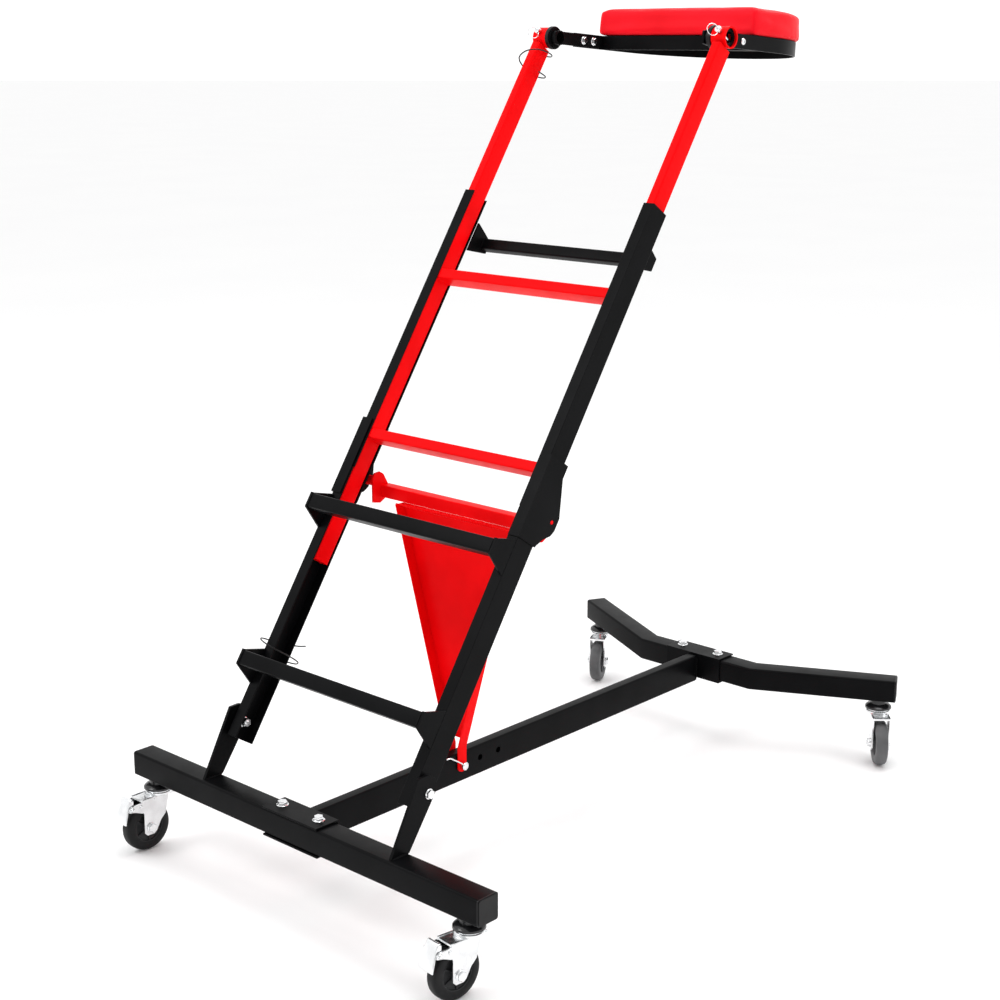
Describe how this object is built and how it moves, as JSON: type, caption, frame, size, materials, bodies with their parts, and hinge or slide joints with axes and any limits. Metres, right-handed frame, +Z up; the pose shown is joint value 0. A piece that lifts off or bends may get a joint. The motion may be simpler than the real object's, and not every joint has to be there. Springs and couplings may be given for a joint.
{
  "type": "mechanics creeper",
  "caption": "Topside creeper: a padded chest deck on a leaning telescoping ladder with steps, propped by a strut on a low wheeled base.",
  "frame": {"origin": "on the floor, under the middle of the overall width and depth", "axes": "+X along the rear bar to the right of a user facing the ladder, +Y forwards from the rear bar to the front bar and deck, +Z up"},
  "size_m": [0.758, 1.1964, 1.3063],
  "materials": {
    "black_powder_coat": "gloss",
    "red_powder_coat": "gloss",
    "zinc_plate": "polished",
    "black_plastic": "satin",
    "black_tread": "matte",
    "grey_tread": "matte",
    "red_vinyl": "satin",
    "black_board": "satin",
    "coated_wire": "satin"
  },
  "bodies": {
    "base": {"rear_bar": "black_powder_coat", "rear_bar_cap_right": "black_plastic", "rear_bar_cap_left": "black_plastic", "beam": "black_powder_coat", "rear_saddle": "black_powder_coat", "front_saddle": "black_powder_coat", "front_bar": "black_powder_coat", "front_bar_cap_right": "black_plastic", "front_bar_cap_left": "black_plastic", "leg_right": "black_powder_coat", "leg_left": "black_powder_coat", "fold_bolt_right": "zinc_plate", "fold_bolt_left": "zinc_plate", "rear_saddle_bolt_right": "zinc_plate", "rear_saddle_bolt_left": "zinc_plate", "front_saddle_bolt_right": "zinc_plate", "front_saddle_bolt_left": "zinc_plate"},
    "ladder": {"lower_rail_right": "black_powder_coat", "lower_rail_left": "black_powder_coat", "upper_rail_right": "black_powder_coat", "upper_rail_left": "black_powder_coat", "splice_right": "black_powder_coat", "splice_left": "black_powder_coat", "low_step": "black_powder_coat", "mid_step": "black_powder_coat", "low_step_bracket_right": "black_powder_coat", "low_step_bracket_left": "black_powder_coat", "mid_step_bracket_right": "black_powder_coat", "mid_step_bracket_left": "black_powder_coat", "rear_crossbar": "black_powder_coat", "crossbar_gusset_right": "black_powder_coat", "crossbar_gusset_left": "black_powder_coat", "lower_lanyard": "coated_wire"},
    "extension": {"inner_rail_right": "red_powder_coat", "inner_rail_left": "red_powder_coat", "lower_rung": "red_powder_coat", "upper_rung": "red_powder_coat", "deck_sleeve_right": "red_powder_coat", "deck_sleeve_left": "red_powder_coat", "upper_lanyard": "coated_wire"},
    "deck": {"deck_frame": "black_powder_coat", "deck_arm_right": "black_powder_coat", "deck_arm_left": "black_powder_coat", "deck_board": "black_board", "chest_pad": "red_vinyl"},
    "deck_pin_right": {"deck_pin_right": "zinc_plate"},
    "deck_pin_left": {"deck_pin_left": "zinc_plate"},
    "strut": {"strut_panel": "red_powder_coat", "strut_head": "red_powder_coat"},
    "strut_pin": {"strut_pin": "zinc_plate"},
    "rear_right_caster_fork": {"rear_right_caster_fork": "zinc_plate"},
    "rear_right_caster_wheel": {"rear_right_caster_wheel": "black_tread"},
    "rear_right_caster_pedal": {"rear_right_caster_pedal": "zinc_plate"},
    "rear_left_caster_fork": {"rear_left_caster_fork": "zinc_plate"},
    "rear_left_caster_wheel": {"rear_left_caster_wheel": "black_tread"},
    "rear_left_caster_pedal": {"rear_left_caster_pedal": "zinc_plate"},
    "front_right_caster_fork": {"front_right_caster_fork": "zinc_plate"},
    "front_right_caster_wheel": {"front_right_caster_wheel": "grey_tread"},
    "front_left_caster_fork": {"front_left_caster_fork": "zinc_plate"},
    "front_left_caster_wheel": {"front_left_caster_wheel": "grey_tread"}
  },
  "joints": [
    {"name": "ladder_fold", "type": "hinge", "parent": "base", "child": "ladder", "pos_m": [0, -0.45986, 0.22923], "axis": [-1, 0, 0], "range_deg": [0, 38]},
    {"name": "strut_swing", "type": "hinge", "parent": "ladder", "child": "strut", "pos_m": [0, -0.1907, 0.56831], "axis": [1, 0, 0], "range_deg": [0, 137]},
    {"name": "extension_slide", "type": "slide", "parent": "ladder", "child": "extension", "axis": [0, 0.5564, 0.8309], "range_m": [-0.25, 0.15]},
    {"name": "deck_tilt", "type": "hinge", "parent": "extension", "child": "deck", "pos_m": [0, 0.22642, 1.2578], "axis": [1, 0, 0], "range_deg": [-45, 45]},
    {"name": "deck_pin_right_pull", "type": "slide", "parent": "extension", "child": "deck_pin_right", "axis": [0, -0.8309, 0.5564], "range_m": [0, 0.045]},
    {"name": "deck_pin_left_pull", "type": "slide", "parent": "extension", "child": "deck_pin_left", "axis": [0, -0.8309, 0.5564], "range_m": [0, 0.045]},
    {"name": "strut_pin_pull", "type": "slide", "parent": "strut", "child": "strut_pin", "axis": [1, 0, 0], "range_m": [0, 0.05]},
    {"name": "rear_right_swivel", "type": "hinge", "parent": "base", "child": "rear_right_caster_fork", "pos_m": [0.3435, -0.52033, 0.092], "axis": [0, 0, 1], "continuous": true},
    {"name": "rear_right_wheel_roll", "type": "hinge", "parent": "rear_right_caster_fork", "child": "rear_right_caster_wheel", "pos_m": [0.33987, -0.54809, 0.04], "axis": [-0.9916, 0.1296, 0], "continuous": true},
    {"name": "rear_right_brake_pedal", "type": "hinge", "parent": "rear_right_caster_fork", "child": "rear_right_caster_pedal", "pos_m": [0.33546, -0.58181, 0.08], "axis": [-0.9916, 0.1296, 0], "range_deg": [-3, 14]},
    {"name": "rear_left_swivel", "type": "hinge", "parent": "base", "child": "rear_left_caster_fork", "pos_m": [-0.3435, -0.52033, 0.092], "axis": [0, 0, 1], "continuous": true},
    {"name": "rear_left_wheel_roll", "type": "hinge", "parent": "rear_left_caster_fork", "child": "rear_left_caster_wheel", "pos_m": [-0.34406, -0.54832, 0.04], "axis": [-0.9998, 0.02, 0], "continuous": true},
    {"name": "rear_left_brake_pedal", "type": "hinge", "parent": "rear_left_caster_fork", "child": "rear_left_caster_pedal", "pos_m": [-0.34474, -0.58232, 0.08], "axis": [-0.9998, 0.02, 0], "range_deg": [-3, 14]},
    {"name": "front_right_swivel", "type": "hinge", "parent": "base", "child": "front_right_caster_fork", "pos_m": [0.3205, 0.56667, 0.092], "axis": [0, 0, 1], "continuous": true},
    {"name": "front_right_wheel_roll", "type": "hinge", "parent": "front_right_caster_fork", "child": "front_right_caster_wheel", "pos_m": [0.33875, 0.54544, 0.04], "axis": [-0.7584, -0.6518, 0], "continuous": true},
    {"name": "front_left_swivel", "type": "hinge", "parent": "base", "child": "front_left_caster_fork", "pos_m": [-0.3205, 0.56667, 0.092], "axis": [0, 0, 1], "continuous": true},
    {"name": "front_left_wheel_roll", "type": "hinge", "parent": "front_left_caster_fork", "child": "front_left_caster_wheel", "pos_m": [-0.30807, 0.54158, 0.04], "axis": [-0.8961, -0.4439, 0], "continuous": true}
  ],
  "couplings": [
    {"joint": "strut_swing", "follows": "ladder_fold", "ratio": 3.6}
  ]
}
